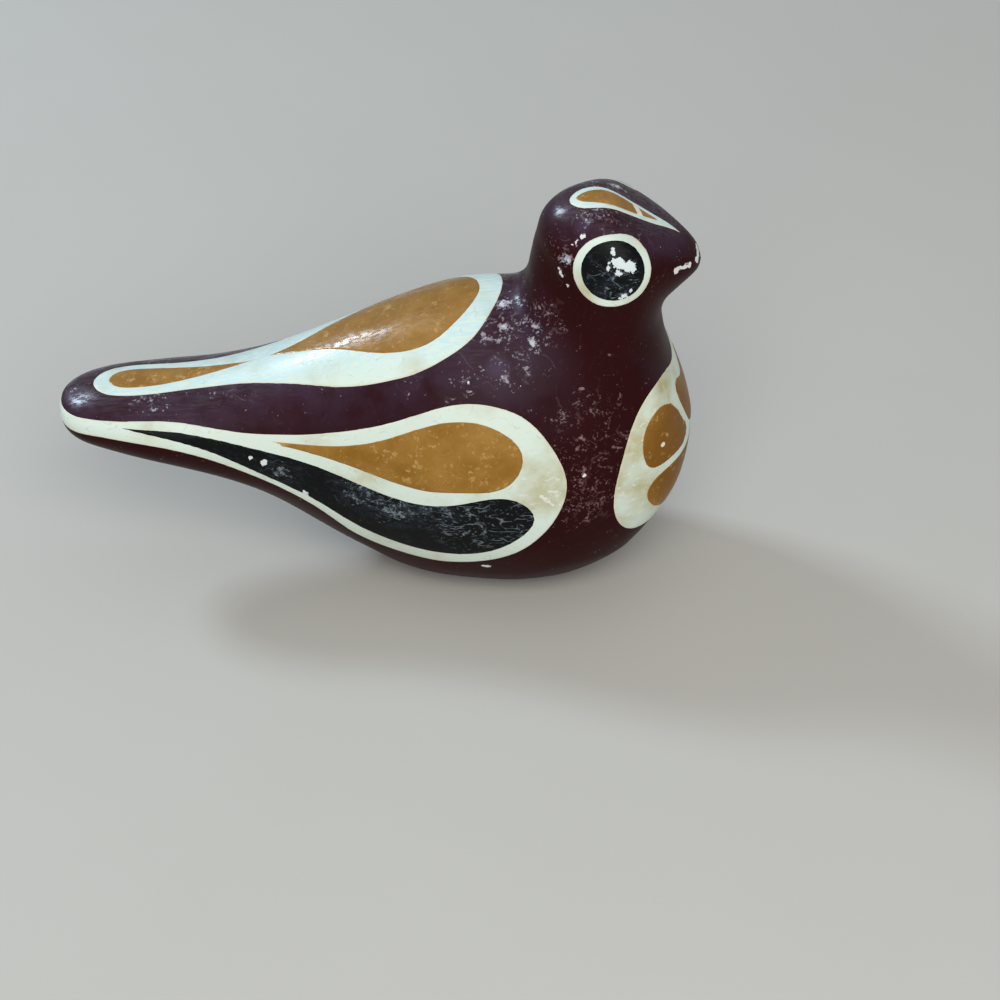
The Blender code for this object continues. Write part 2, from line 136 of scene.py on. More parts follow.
# %% Spline
def slopes(knots, values, start, end):
    """Slopes of the smoothest curve through the values, with free ends where none is given."""
    count = len(knots)
    gap = np.diff(knots)
    matrix = np.zeros((count, count))
    right = np.zeros(values.shape)
    for i in range(1, count - 1):
        matrix[i, i - 1 : i + 2] = 1 / gap[i - 1], 2 / gap[i - 1] + 2 / gap[i], 1 / gap[i]
        rise = (values[i] - values[i - 1]) / gap[i - 1] ** 2
        right[i] = 3 * (rise + (values[i + 1] - values[i]) / gap[i] ** 2)
    for row, other, bound, free in ((0, 1, start, gap[0]), (-1, -2, end, -gap[-1])):
        matrix[row, row] = 1
        if bound is None:
            matrix[row, other] = 0.5
            right[row] = 1.5 * (values[other] - values[row]) / free
        else:
            right[row] = bound
    return np.linalg.solve(matrix, right)


def smooth(knots, values, places, start=None, end=None):
    """Points at the given places on a smooth curve through the values."""
    values = np.array(values, float)
    slope = slopes(knots, values, start, end)
    i = np.clip(np.searchsorted(knots, places, side="right") - 1, 0, len(knots) - 2)
    width = np.diff(knots)[i]
    s = (places - knots[i]) / width
    if values.ndim > 1:
        width = width[:, None]
        s = s[:, None]
    return (
        values[i] * (1 + 2 * s) * (1 - s) ** 2
        + slope[i] * width * s * (1 - s) ** 2
        + values[i + 1] * s**2 * (3 - 2 * s)
        + slope[i + 1] * width * s**2 * (s - 1)
    )


def lengths(points):
    """Running length along a row of points."""
    return np.concatenate([[0], np.cumsum(np.linalg.norm(np.diff(points, axis=0), axis=1))])


# %% [markdown]
# ## Loft the skin
# Each ring of the loft is an oval between the back line and the belly line. The blunt
# and run values say how round the tips are and which way the lines run into them. The
# skin is a plain grid of rings, kept as arrays, because the painted panels are cut from
# it later on.

# %% Loft
RINGS = 200
RING_POINTS = 144
TAIL_BLUNT = 1.9
TAIL_RUN = np.array([0, 1.0])
BEAK_BLUNT = 1.7
BEAK_TOP_RUN = np.array([0.25, -0.9])
BEAK_LOW_RUN = np.array([0.15, 0.9])


def lofted_rings():
    """Grid of skin points, ring by ring, in millimetres."""
    back = np.array([row[0] for row in STATIONS])
    belly = np.array([row[1] for row in STATIONS])
    knots = (lengths(back) + lengths(belly)) / 2
    places = np.linspace(0, knots[-1], RINGS)
    back = smooth(knots, back, places, TAIL_BLUNT * TAIL_RUN, BEAK_BLUNT * BEAK_TOP_RUN)
    belly = smooth(knots, belly, places, -TAIL_BLUNT * TAIL_RUN, BEAK_BLUNT * BEAK_LOW_RUN)
    wide = smooth(knots, [row[2] for row in STATIONS], places, TAIL_BLUNT, -BEAK_BLUNT)
    rise = smooth(knots, [row[3] for row in STATIONS], places)
    angle = 2 * math.pi * np.arange(RING_POINTS) / RING_POINTS
    along = np.cos(angle) + rise[:, None] * np.sin(angle) ** 2
    side = ((back + belly) / 2)[:, None, :] + along[:, :, None] * ((back - belly) / 2)[:, None, :]
    across = -wide[:, None] * np.sin(angle)
    return np.stack([side[:, :, 0], across, side[:, :, 1]], axis=2)


def grid_faces(rings, points):
    """Triangles of the loft, with a fan at each end."""
    faces = []
    last = (rings - 3) * points
    tail = (rings - 2) * points
    for j in range(points):
        k = (j + 1) % points
        faces.append((tail, k, j))
        faces.append((tail + 1, last + j, last + k))
        for i in range(rings - 3):
            a = i * points
            b = a + points
            faces.append((a + j, a + k, b + k))
            faces.append((a + j, b + k, b + j))
    return np.array(faces)


grid = lofted_rings()
skin_points = np.concatenate([grid[1:-1].reshape(-1, 3), grid[0, :1], grid[-1, :1]])
skin_faces = grid_faces(RINGS, RING_POINTS)
print("skin:", len(skin_points), "points", len(skin_faces), "triangles")


# %% Normals of the skin
def point_normals(points, faces):
    """Unit normals of a triangle mesh at its points, weighted by face area."""
    corner = points[faces]
    flat = np.cross(corner[:, 1] - corner[:, 0], corner[:, 2] - corner[:, 0])
    total = np.zeros(points.shape)
    for k in range(3):
        np.add.at(total, faces[:, k], flat)
    return total / np.linalg.norm(total, axis=1)[:, None]


skin_normals = point_normals(skin_points, skin_faces)
middle = skin_points.mean(axis=0)
outward = np.einsum("ij,ij->i", skin_normals, skin_points - middle)
print("share of normals that point away from the middle:", round(float((outward > 0).mean()), 3))

# %% [markdown]
# ## The potter's flats
# A hand-scraped and burnished surface is never perfectly round. The tool leaves broad
# flats that meet in faint creases, and they break the highlights up. Sculpt mode could
# press them in by hand. Here a few hundred seed points are scattered on the skin, and
# each part of the skin is drawn a little towards the tangent plane of its nearest seed.

# %% Press flats into the skin
FLATS = 330
FLAT_PRESS = 0.2
CREASE_SOFTNESS = 30.0
SWELL = 0.07
SWELL_SIZE = 13.0
POINTS_AT_ONCE = 2000
FLAT_SEED = 11
picker = np.random.default_rng(FLAT_SEED)


def press_flats(points, normals):
    """Points drawn towards the tangent planes of scattered seeds."""
    seeds = picker.choice(len(points) - 2, FLATS, replace=False)
    pressed = points.copy()
    for start in range(0, len(points), POINTS_AT_ONCE):
        some = points[start : start + POINTS_AT_ONCE]
        apart = some[:, None, :] - points[seeds][None, :, :]
        square = np.einsum("ijk,ijk->ij", apart, apart)
        weight = np.exp(-(square - square.min(axis=1)[:, None]) / CREASE_SOFTNESS)
        weight /= weight.sum(axis=1)[:, None]
        above = np.einsum("ijk,jk->ij", apart, normals[seeds])
        shift = (weight * above) @ normals[seeds]
        pressed[start : start + POINTS_AT_ONCE] = some - FLAT_PRESS * shift
    return pressed


def swell(points, normals):
    """Points moved along their normals by soft lumps."""
    lumps = [noise.noise(Vector(point / SWELL_SIZE)) for point in points]
    return points + SWELL * np.array(lumps)[:, None] * normals


smooth_points = skin_points
skin_points = swell(press_flats(skin_points, skin_normals), skin_normals)
skin_normals = point_normals(skin_points, skin_faces)
moved = np.linalg.norm(skin_points - smooth_points, axis=1)
print("flats move the skin by up to", round(float(moved.max()), 2), "mm")

# %% [markdown]
# ## Cutting along a line
# The ground slip ends at the foot, and each painted panel ends at its outline. Both are
# the same job: every point of the skin gets a number, its distance inside the line, and
# the mesh is cut where that number passes a level. A Boolean would cut as well, but this
# keeps the number on the mesh as an attribute that the shader can read near an edge. A
# second pair of helpers turns some faces of the skin into a mesh that can be cut, and a
# finished mesh into a piece of the scene.


# %% Cut a mesh where a number on its points passes a level
def cut_along(mesh, layer, level):
    """Splits every triangle that the level line of a point layer crosses."""
    fresh = set()
    for edge in list(mesh.edges):
        a, b = edge.verts
        low = a[layer] - level
        high = b[layer] - level
        if low * high < 0:
            _, vert = bmesh.utils.edge_split(edge, a, low / (low - high))
            vert[layer] = level
            fresh.add(vert)
    for face in list(mesh.faces):
        on_line = [vert for vert in face.verts if vert in fresh or vert[layer] == level]
        if len(on_line) == 2 and len(face.verts) > 3:
            own_edges = [edge for edge in on_line[0].link_edges if edge in face.edges]
            if on_line[1] not in [edge.other_vert(on_line[0]) for edge in own_edges]:
                bmesh.utils.face_split(face, on_line[0], on_line[1])


def drop_outside(mesh, layer, level):
    """Removes the faces on the lower side of the level line."""
    out = []
    for face in mesh.faces:
        if sum(vert[layer] for vert in face.verts) / len(face.verts) < level:
            out.append(face)
    bmesh.ops.delete(mesh, geom=out, context="FACES")


# %% From faces of the skin to a piece
def mesh_from(points, normals, faces, values):
    """A bmesh of some faces, with a number and a normal kept on every point."""
    mesh = bmesh.new()
    rim = mesh.verts.layers.float.new("rim")
    up = mesh.verts.layers.float_vector.new("up")
    used = np.unique(faces)
    made = {}
    for index in used:
        vert = mesh.verts.new(points[index] * MM)
        vert[rim] = values[index]
        vert[up] = normals[index]
        made[index] = vert
    for face in faces:
        mesh.faces.new([made[index] for index in face])
    return mesh, rim, up


def finished_object(name, mesh):
    """Puts a bmesh into the scene as a smooth-shaded piece on the bird's one body."""
    data = bpy.data.meshes.new(name)
    mesh.to_mesh(data)
    mesh.free()
    data.shade_smooth()
    piece = bpy.data.objects.new(name, data)
    bpy.context.scene.collection.objects.link(piece)
    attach(piece, "root")
    return piece


# %% [markdown]
# ## The maroon ground
# On the real bird the ground slip covers everything except the flat foot. The skin is
# cut just above the foot and round the small firing vent. Solidify then turns both edges
# in, so that they look like a coat of slip and not like a sheet of paper.

# %% Maroon skin
VENT_X = -6.0
VENT_Y = 8.0
VENT_RADIUS = 1.5
COAT = 0.45
FAR_AWAY = 120.0


def vent_distance(points):
    """Distance outside the vent, on the underside only."""
    away = np.hypot(points[:, 0] - VENT_X, points[:, 1] - VENT_Y) - VENT_RADIUS
    return np.where(points[:, 2] < TAIL_Z, away, FAR_AWAY)


ground_values = np.minimum(skin_points[:, 2] - COAT_EDGE, vent_distance(skin_points))
ground, rim_layer, _ = mesh_from(skin_points, skin_normals, skin_faces, ground_values)
cut_along(ground, rim_layer, 0.0)
drop_outside(ground, rim_layer, 0.0)
for edge in ground.edges:
    edge.smooth = not edge.is_boundary
maroon_skin = finished_object("maroon_skin", ground)
wall = maroon_skin.modifiers.new("coat", "SOLIDIFY")
wall.thickness = COAT * MM
wall.offset = -1
wall.use_rim_only = True
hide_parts("ground_coat")
print("maroon skin:", len(maroon_skin.data.polygons), "faces")

# %% [markdown]
# ## Outlines of the painting
# The painter drew each panel with a few sweeps of a brush. A panel's outline here is a
# smooth line through a few points, in the view in which it was drawn: from the side for
# wings, eyes and breast, from above for back and crown, from the front for one petal.
# The hand was not quite even: the back panel's front end runs askew, and the crown panel
# sits a little to the right.

# %% Outline helpers
OUTLINE_STEPS = 8
OVAL_POINTS = 72


def drawn_through(points, start=None, end=None):
    """Smooth open line through given points."""
    knots = lengths(np.array(points, float))
    count = (len(knots) - 1) * OUTLINE_STEPS + 1
    places = np.interp(np.arange(count) / OUTLINE_STEPS, np.arange(len(knots)), knots)
    return smooth(knots, points, places, start, end)


def both_halves(points, round_start, round_end):
    """A half outline joined to its mirror image across the mid-line, with round or pointed ends."""
    half = drawn_through(points, (0, 1) if round_start else None, (0, -1) if round_end else None)
    return np.concatenate([half, half[-2:0:-1] * (1, -1)])


def both_sides(points):
    """A half outline from top to bottom joined to its mirror image across the mid-line."""
    half = drawn_through(points)
    return np.concatenate([half, half[-2:0:-1] * (-1, 1)])


def oval(centre, tall, wide):
    """Outline of an upright oval from its half axes."""
    angle = 2 * math.pi * np.arange(OVAL_POINTS) / OVAL_POINTS
    return np.array(centre) + np.stack([wide * np.sin(angle), tall * np.cos(angle)], axis=1)


# %% Outlines of the wing, in the side view
WING_PANEL = drawn_through(
    [
        (TAIL_X - 2, TAIL_Z + 2.2), (-60, 46.3), (-48, 47.0), (-30, 45.9), (-12, 48.1), (4, 53.4),
        (21, 59.8), (34, 57.2), (42, 48.4), (45.2, 38.9), (41, 27.9), (32, 19.2), (20, 15.0),
        (6, 15.5), (-5, 19.1), (-13, 25.8), (-25, 32.6), (-38.4, 38.4), (-50, 41.5),
        (TAIL_X - 2, TAIL_Z - 1.2),
    ]
)  # fmt: skip
WING_UPPER_DROP = drawn_through(
    [
        (-29, 44.4), (-16, 45.2), (-6, 46.6), (4, 50.3), (14, 55.0), (22, 56.3), (30, 54.1),
        (35.1, 47.6), (32, 41.1), (22, 38.9), (10, 38.7), (-4, 41.0), (-16, 43.0), (-29, 44.4),
    ]
)  # fmt: skip
WING_LOWER_DROP = drawn_through(
    [
        (-61.5, 45.3), (-45, 45.2), (-31, 43.2), (-12, 39.7), (6, 35.3), (20, 36.0), (33, 37.2),
        (37.8, 31.9), (33, 24.2), (22, 18.9), (8, 19.3), (-5, 23.4), (-13, 28.6), (-25, 34.4),
        (-38, 40.6), (-61.5, 45.3),
    ]
)  # fmt: skip
print("wing outlines:", len(WING_PANEL), len(WING_UPPER_DROP), len(WING_LOWER_DROP), "points")

# %% Outlines of the back, in the top view
LEAN = 0.17
LEAN_START = 5.0
LEAN_RUN = 15.0


def leaning(outline):
    """An outline whose front end runs askew, as the painter's hand drew it."""
    ahead = np.clip((outline[:, 0] - LEAN_START) / LEAN_RUN, 0, 1)
    return outline + np.stack([LEAN * outline[:, 1] * ahead, 0 * ahead], axis=1)


BACK_PANEL = both_halves(
    [
        (TAIL_X + 8, 0), (TAIL_X + 10.2, 4.2), (TAIL_X + 15, 6.0), (-50, 6.1), (-34, 6.2),
        (-20, 9.5), (-8, 13.8), (7, 17.0), (19, 16.4), (26, 12.6), (28.8, 7.0), (30, 0),
    ],
    round_start=True,
    round_end=True,
)  # fmt: skip
BACK_DROP = both_halves(
    [(-25.4, 0), (-17, 2.3), (-8, 6.0), (2, 10.8), (10, 12.6), (17, 11.6), (23.2, 5.9), (25, 0)],
    round_start=False,
    round_end=True,
)
TAIL_DROP = both_halves(
    [
        (TAIL_X + 11.6, 0), (TAIL_X + 13, 2.6), (TAIL_X + 17.5, 3.9), (-46, 3.0), (-36, 1.4),
        (-27.5, 0),
    ],
    round_start=True,
    round_end=False,
)  # fmt: skip
BACK_PANEL = leaning(BACK_PANEL)
BACK_DROP = leaning(BACK_DROP)
print("back outlines:", len(BACK_PANEL), len(BACK_DROP), len(TAIL_DROP), "points")

# %% Outlines of the crown, in the top view
CROWN_ASIDE = (0, -1.3)
CROWN_PANEL = both_halves(
    [
        (HEAD_X - 6.4, 0), (HEAD_X - 4, 3.3), (HEAD_X + 0.6, 4.1), (HEAD_X + 6, 3.3),
        (HEAD_X + 13, 2.0), (BEAK_X - 4.6, 0),
    ],
    round_start=True,
    round_end=False,
)  # fmt: skip
CROWN_DROP = both_halves(
    [(HEAD_X - 5, 0), (HEAD_X - 2, 2.3), (HEAD_X + 2.4, 2.8), (HEAD_X + 8.6, 1.8), (HEAD_X + 15, 0)],
    round_start=True,
    round_end=False,
)
CROWN_PANEL = CROWN_PANEL + CROWN_ASIDE
CROWN_DROP = CROWN_DROP + CROWN_ASIDE
print("crown outlines:", len(CROWN_PANEL), len(CROWN_DROP), "points")

# %% Outlines of the breast, in the side and the front view
FRONT = BREAST_X + 6
BREAST_PANEL = drawn_through(
    [
        (FRONT, 55.4), (71.2, 56.0), (69.5, 58.3), (67.4, 59.8), (65.2, 59.7), (62.3, 56.9),
        (59.4, 49.9), (57.4, 41.9), (56.1, 33.2), (57.2, 25.8), (60.8, 21.0), (66, 19.6),
        (FRONT, 18.4),
    ]
)  # fmt: skip
BREAST_LOW_PETAL = drawn_through(
    [
        (FRONT, 38.6), (72.5, 38.5), (69.0, 37.8), (65.3, 35.6), (63.8, 32.3), (64.9, 28.1),
        (67.6, 24.4), (FRONT, 21.8),
    ]
)  # fmt: skip
BREAST_SIDE_PETAL = drawn_through(
    [
        (69.1, 53.5), (66.6, 54.7), (64.4, 53.2), (62.4, 46.5), (63.0, 42.2), (65.0, 39.3),
        (67.6, 39.2), (70.6, 39.8), (73.0, 40.4), (73.6, 42.0), (72.4, 46.7), (70.9, 50.5), (69.1, 53.5),
    ]
)  # fmt: skip
BREAST_TOP_PETAL = both_sides(
    [
        (0, 52.6), (3.5, 53.6), (7.3, 55.0), (9.3, 54.2), (9.9, 52.0), (9.4, 49.0), (8.2, 45.6),
        (6.3, 42.4), (3.6, 41.3), (0, 41.0),
    ]
)  # fmt: skip
print("breast outline:", len(BREAST_PANEL), "points")

# %% Outlines of the eyes, in the side view
EYE_RING = oval((HEAD_X + 3.2, HEAD_Z + 4.9), tall=8.3, wide=8.9)
PUPIL = oval((HEAD_X + 3.35, HEAD_Z + 5.25), tall=7.05, wide=7.35)
print("eye outlines:", len(EYE_RING), "points each")

# %% [markdown]
# ## Painted patches
# A patch of slip is the part of the skin inside an outline, lifted by a tenth of a
# millimetre, with its rim tucked back under the surface. That gives the small soft step
# that a brushed layer has. Drops lie on their panel, so they are lifted a little more.
# A second cut behind the lip gives it points to bend at, so that the smooth shading of
# the step stays close to the rim.

# %% Distance inside an outline
TOO_SHORT = 1e-6
NEARLY_LEVEL = 1e-12


def inside_distance(points, outline):
    """Distance of flat points inside a closed outline, negative outside it."""
    start = outline
    run = np.roll(outline, -1, axis=0) - start
    long_enough = np.linalg.norm(run, axis=1) > TOO_SHORT
    start = start[long_enough]
    run = run[long_enough]
    away = points[:, None, :] - start[None]
    share = np.clip(np.einsum("ijk,jk->ij", away, run) / (run**2).sum(axis=1), 0, 1)
    apart = np.linalg.norm(away - share[:, :, None] * run[None], axis=2).min(axis=1)
    above = start[:, 1] > points[:, None, 1]
    crossing = above != np.roll(above, -1, axis=1)
    rise = np.where(run[:, 1] == 0, NEARLY_LEVEL, run[:, 1])
    reach = start[:, 0] + (points[:, None, 1] - start[:, 1]) * run[:, 0] / rise
    inside = (crossing & (points[:, None, 0] < reach)).sum(axis=1) % 2 == 1
    return np.where(inside, apart, -apart)


# %% Build a patch
LIP = 0.35
LIP_BEND = 0.7
TUCK = 0.05
PANEL_LIFT = 0.10
DROP_LIFT = 0.17
LIFTS = {"cream_slip": PANEL_LIFT, "ochre_slip": DROP_LIFT, "black_slip": DROP_LIFT}
PATCH_MARGIN = 3
VIEW_AXES = {"side": (0, 2), "top": (0, 1), "crown": (0, 1), "front": (1, 2)}
LOWEST_SEEN = {"top": TAIL_Z, "crown": HEAD_Z}


def side_faces(view, side):
    """Triangles of the skin that a view can paint, on one flank or on both."""
    facing = skin_normals[skin_faces].mean(axis=1)
    centre = skin_points[skin_faces].mean(axis=1)
    if view in LOWEST_SEEN:
        return (facing[:, 2] > 0) & (centre[:, 2] > LOWEST_SEEN[view])
    if view == "front":
        return (facing[:, 0] > 0) & (centre[:, 0] > HEAD_X)
    if side == "both":
        return centre[:, 0] > HEAD_X
    return centre[:, 1] < 0 if side == "right" else centre[:, 1] > 0


def patch(name, outline, view, side, lift):
    """The part of the skin inside an outline, lifted off the skin as a painted layer."""
    flat = skin_points[:, VIEW_AXES[view]]
    low = outline.min(axis=0) - PATCH_MARGIN
    high = outline.max(axis=0) + PATCH_MARGIN
    near = ((flat > low) & (flat < high)).all(axis=1)
    values = np.full(len(flat), -FAR_AWAY)
    values[near] = inside_distance(flat[near], outline)
    chosen = side_faces(view, side) & (values[skin_faces].max(axis=1) > 0)
    mesh, rim, up = mesh_from(skin_points, skin_normals, skin_faces[chosen], values)
    cut_along(mesh, rim, 0.0)
    drop_outside(mesh, rim, 0.0)
    cut_along(mesh, rim, LIP)
    cut_along(mesh, rim, LIP_BEND)
    for vert in mesh.verts:
        raised = min(vert[rim] / LIP, 1)
        raised = raised * (2 - raised)
        vert.co += vert[up] * MM * ((lift + TUCK) * raised - TUCK)
    return finished_object(name, mesh)


# %% Paint the bird
painted = []


def paint(node, outline, view, side, slip):
    """A patch that stands for one CAD node and takes its finish from a slip."""
    piece = patch("painted_" + node, outline, view, side, LIFTS[slip])
    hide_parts(node)
    painted.append((piece, slip))


for side in ("right", "left"):
    paint("wing_panel_" + side, WING_PANEL, "side", side, "cream_slip")
    paint("wing_upper_drop_" + side, WING_UPPER_DROP, "side", side, "ochre_slip")
    paint("wing_lower_drop_" + side, WING_LOWER_DROP, "side", side, "black_slip")
    paint("eye_ring_" + side, EYE_RING, "side", side, "cream_slip")
    paint("pupil_" + side, PUPIL, "side", side, "black_slip")
    paint("breast_petal_" + side, BREAST_SIDE_PETAL, "side", side, "ochre_slip")
paint("breast_panel", BREAST_PANEL, "side", "both", "cream_slip")
paint("breast_petal_low", BREAST_LOW_PETAL, "side", "both", "ochre_slip")
paint("breast_petal_top", BREAST_TOP_PETAL, "front", "both", "ochre_slip")
paint("back_panel", BACK_PANEL, "top", "both", "cream_slip")
paint("back_drop", BACK_DROP, "top", "both", "ochre_slip")
paint("tail_drop", TAIL_DROP, "top", "both", "ochre_slip")
paint("crown_panel", CROWN_PANEL, "crown", "both", "cream_slip")
paint("crown_drop", CROWN_DROP, "crown", "both", "ochre_slip")
print("painted patches:", len(painted))

# %% [markdown]
# ## Writing shaders as sums
# A shader tree is easier to read as an expression than as a wall of node calls. One
# small class wraps a socket. Adding or multiplying two of them adds a Math node, and its
# node method adds any other kind of node.


# %% The socket class
class Wire:
    """A socket of a shader tree. Sums and products of wires add Math nodes."""

    def __init__(self, socket):
        self.socket = socket

    def node(self, kind, settings, inputs, out=0):
        """Adds a node of any kind: its settings first, then values or wires by socket."""
        tree = self.socket.id_data
        made = tree.nodes.new(kind)
        for name, value in settings.items():
            setattr(made, name, value)
        for key, value in inputs.items():
            if isinstance(value, Wire):
                tree.links.new(value.socket, made.inputs[key])
            else:
                made.inputs[key].default_value = value
        return Wire(made.outputs[out])

    def math(self, operation, first, second=0.0):
        """Adds a Math node."""
        return self.node("ShaderNodeMath", {"operation": operation}, {0: first, 1: second})

    def __add__(self, other):
        return self.math("ADD", self, other)

    def __radd__(self, other):
        return self.math("ADD", other, self)

    def __sub__(self, other):
        return self.math("SUBTRACT", self, other)

    def __rsub__(self, other):
        return self.math("SUBTRACT", other, self)

    def __mul__(self, other):
        return self.math("MULTIPLY", self, other)

    def __rmul__(self, other):
        return self.math("MULTIPLY", other, self)

    def __abs__(self):
        return self.math("ABSOLUTE", self)


# %% [markdown]
# ## Building blocks of a finish
# Every finish on the bird is mixed from the same few things: soft clouds of colour,
# ragged specks, thin broken scratches, and chips at given places. A speck is a peak of
# a rough noise, and a chip's round edge is pushed about by noise too, so that none of
# them comes out as a neat dot.

# %% Colour helpers
MIX_FIRST = 6
MIX_SECOND = 7
MIX_COLOUR_OUT = 2


def seen(red, green, blue):
    """A screen colour, 0 to 255, turned by the sRGB curve into the light a shader needs."""
    linear = []
    for part in (red, green, blue):
        part /= 255
        linear.append(part / 12.92 if part <= 0.04045 else ((part + 0.055) / 1.055) ** 2.4)
    return (*linear, 1.0)


def mixed(share, first, second):
    """A colour between first and second."""
    inputs = {0: share, MIX_FIRST: first, MIX_SECOND: second}
    return share.node("ShaderNodeMix", {"data_type": "RGBA"}, inputs, MIX_COLOUR_OUT)


def band(value, low, high):
    """0 below low, 1 above high, with a soft step between."""
    inputs = {"Value": value, "From Min": low, "From Max": high}
    return value.node("ShaderNodeMapRange", {"interpolation_type": "SMOOTHSTEP"}, inputs)


def both(first, second):
    """The stronger of two masks."""
    return first.math("MAXIMUM", first, second)


print("a mid grey of 128 on screen is", round(seen(128, 128, 128)[0], 3), "to a shader")

# %% Pattern helpers
SEED_SHIFT = Vector((37.0, 11.0, 0.0))
SPECK_EDGE = (0.7, 0.8)
HAIR_BREAKS = (0.5, 0.6)


def vector(place, operation, second):
    """A vector sum, difference, product or absolute value."""
    return place.node("ShaderNodeVectorMath", {"operation": operation}, {0: place, 1: second})


def stretched(place, x, y, z):
    """The same place with each axis scaled, to draw a pattern out."""
    return vector(place, "MULTIPLY", (x, y, z))


def cloud(place, size, detail=2.0, rough=0.5, seed=0):
    """Soft noise from 0 to 1 with blotches about size millimetres across."""
    moved = vector(place, "ADD", SEED_SHIFT * seed)
    inputs = {"Vector": moved, "Scale": 1 / size, "Detail": detail, "Roughness": rough}
    return place.node("ShaderNodeTexNoise", {}, inputs)


def specks(place, size, crowd, seed):
    """Ragged specks: the peaks of a rough noise, more of them where crowd is high."""
    return band(cloud(place, size, 3, 0.6, seed) + crowd, *SPECK_EDGE)


def hairs(place, size, width, seed):
    """Thin scratches: the level line of a cloud, broken by another cloud."""
    line = 1 - band(abs(cloud(place, size, 0.5, 0.5, seed) - 0.5), 0, width)
    return line * band(cloud(place, size * 0.7, 2, 0.5, seed + 1), *HAIR_BREAKS)


def folded(place):
    """The same place with the bird's left side laid over its right."""
    side = stretched(vector(place, "ABSOLUTE", (0, 0, 0)), 0, -1, 0)
    return vector(stretched(place, 1, 0, 1), "ADD", side)


# %% Marks at given places
CHIP_GRAIN = 1.2
CHIP_EDGE = 0.15


def distance(place, start, end):
    """Distance from the straight line between two points, or from the one point."""
    if start == end:
        nearest = start
    else:
        run = Vector(end) - Vector(start)
        away = vector(place, "SUBTRACT", start)
        inputs = {0: away, 1: run / run.length_squared}
        share = place.node("ShaderNodeVectorMath", {"operation": "DOT_PRODUCT"}, inputs, "Value")
        share = place.node("ShaderNodeClamp", {}, {0: share})
        reach = place.node("ShaderNodeVectorMath", {"operation": "SCALE"}, {0: run, "Scale": share})
        nearest = vector(reach, "ADD", start)
    inputs = {0: place, 1: nearest}
    return place.node("ShaderNodeVectorMath", {"operation": "DISTANCE"}, inputs, "Value")


def depth_in(place, marks):
    """Millimetres inside the deepest of several marks, negative outside them all."""
    deepest = None
    for radius, start, *end in marks:
        inside = radius - distance(place, start, end[0] if end else start)
        deepest = inside if deepest is None else both(deepest, inside)
    return deepest


def zone(place, marks, soft):
    """A mask of several marks with an edge of soft millimetres."""
    return band(depth_in(place, marks), -soft / 2, soft / 2)


def chips(place, marks, ragged):
    """A mask of chips: marks whose edge is broken by noise of ragged millimetres."""
    broken = (cloud(place, CHIP_GRAIN, 3, 0.6, seed=9) - 0.5) * ragged
    return band(depth_in(place, marks) + broken, 0, CHIP_EDGE)


# %% Layers that several finishes share
STROKE_WIDTH = 0.9
STROKE_DRAW = 0.1
VARNISHED_FROM = 0.7
VARNISHED_FULLY = 0.86
STREAK_WIDTH = 0.7
STREAK_DRAW = 0.08
STREAK_EDGE = (0.44, 0.56)
BETWEEN_STREAKS = 0.15


def brushed(place):
    """Fine strokes that run along the bird."""
    return cloud(stretched(place, STROKE_DRAW, 1, 1), STROKE_WIDTH, 3, 0.6, seed=3)


def upward(place):
    """How far the surface faces up, from -1 to 1."""
    facing = place.node("ShaderNodeNewGeometry", {}, {}, "Normal")
    return facing.node("ShaderNodeSeparateXYZ", {}, {0: facing}, "Z")


def varnish(place, most):
    """The clear coat, kept on the top of the bird, in streaks, and worn off its sides."""
    drawn = stretched(place, STREAK_DRAW, 1, 1)
    streaks = band(cloud(drawn, STREAK_WIDTH, 3, 0.65, seed=12), *STREAK_EDGE)
    on_top = band(upward(place), VARNISHED_FROM, VARNISHED_FULLY)
    return on_top * (streaks * (1 - BETWEEN_STREAKS) + BETWEEN_STREAKS) * most


def rim_distance(place):
    """Millimetres from the rim of the painted patch, kept on its mesh."""
    return place.node("ShaderNodeAttribute", {"attribute_name": "rim"}, {}, "Fac")


# %% Start and end of a finish
COAT_ROUGHNESS = 0.25
FINISHES = {}


def begin(name):
    """A new material and the place on the surface in millimetres."""
    material = bpy.data.materials.new(name)
    material.use_nodes = True
    tree = material.node_tree
    where = Wire(tree.nodes.new("ShaderNodeTexCoord").outputs["Object"])
    return material, stretched(where, 1 / MM, 1 / MM, 1 / MM)


def end(material, colour, roughness, relief, depth, coat, specular):
    """Feeds a finish into the material's shader, with relief in millimetres of depth."""
    shader = material.node_tree.nodes["Principled BSDF"]
    links = material.node_tree.links
    links.new(colour.socket, shader.inputs["Base Color"])
    links.new(roughness.socket, shader.inputs["Roughness"])
    inputs = {"Height": relief, "Distance": depth * MM, "Strength": 1.0}
    bump = relief.node("ShaderNodeBump", {}, inputs)
    links.new(bump.socket, shader.inputs["Normal"])
    if isinstance(coat, Wire):
        links.new(coat.socket, shader.inputs["Coat Weight"])
    else:
        shader.inputs["Coat Weight"].default_value = coat
    shader.inputs["Coat Roughness"].default_value = COAT_ROUGHNESS
    shader.inputs["Specular IOR Level"].default_value = specular
    return material


def keep(slip, material):
    """Notes the finish of a slip for the pieces that wear it."""
    FINISHES[slip] = material
    print(slip, "finish:", len(material.node_tree.nodes), "nodes")
